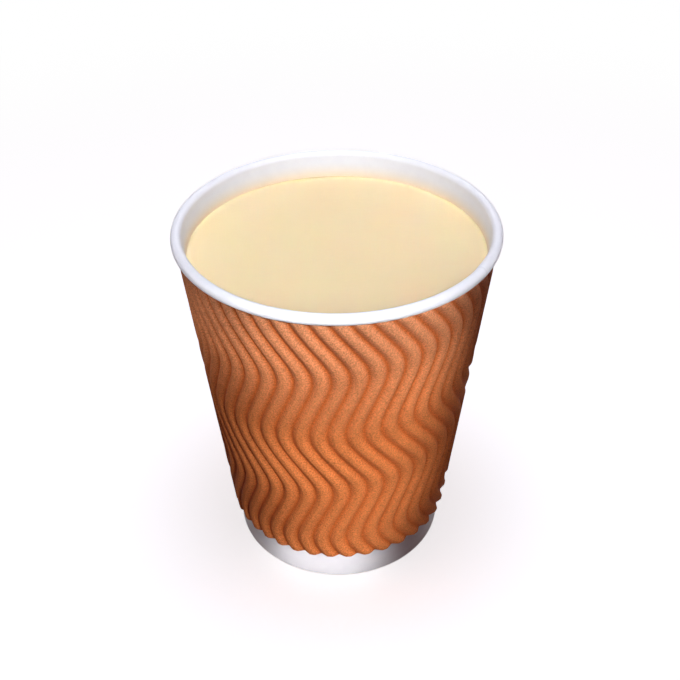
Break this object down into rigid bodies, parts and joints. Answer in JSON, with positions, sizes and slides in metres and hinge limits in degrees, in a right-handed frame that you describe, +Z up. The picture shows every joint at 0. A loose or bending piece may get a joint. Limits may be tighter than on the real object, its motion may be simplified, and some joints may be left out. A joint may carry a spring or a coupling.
{
  "type": "hot drink in a paper cup",
  "caption": "Milk tea in a white paper cup with a rolled rim, recessed base and a wavy corrugated kraft sleeve.",
  "frame": {"origin": "middle of the foot's underside, on the surface that the cup stands on", "axes": "+Z up along the cup's axis, out of its mouth; -Y is the front as first seen"},
  "size_m": [0.08, 0.08, 0.094],
  "materials": {
    "coated_paperboard": "smooth, slight plastic-coated sheen",
    "bottom_paperboard": "smooth, slight plastic-coated sheen",
    "kraft_corrugated": "matt kraft paper, dyed orange-brown, finely speckled",
    "milk_tea": "opaque cream liquid with a glossy surface"
  },
  "bodies": {
    "root": {"cup_wall": "coated_paperboard", "cup_bottom": "bottom_paperboard", "sleeve": "kraft_corrugated", "tea": "milk_tea"}
  },
  "joints": []
}
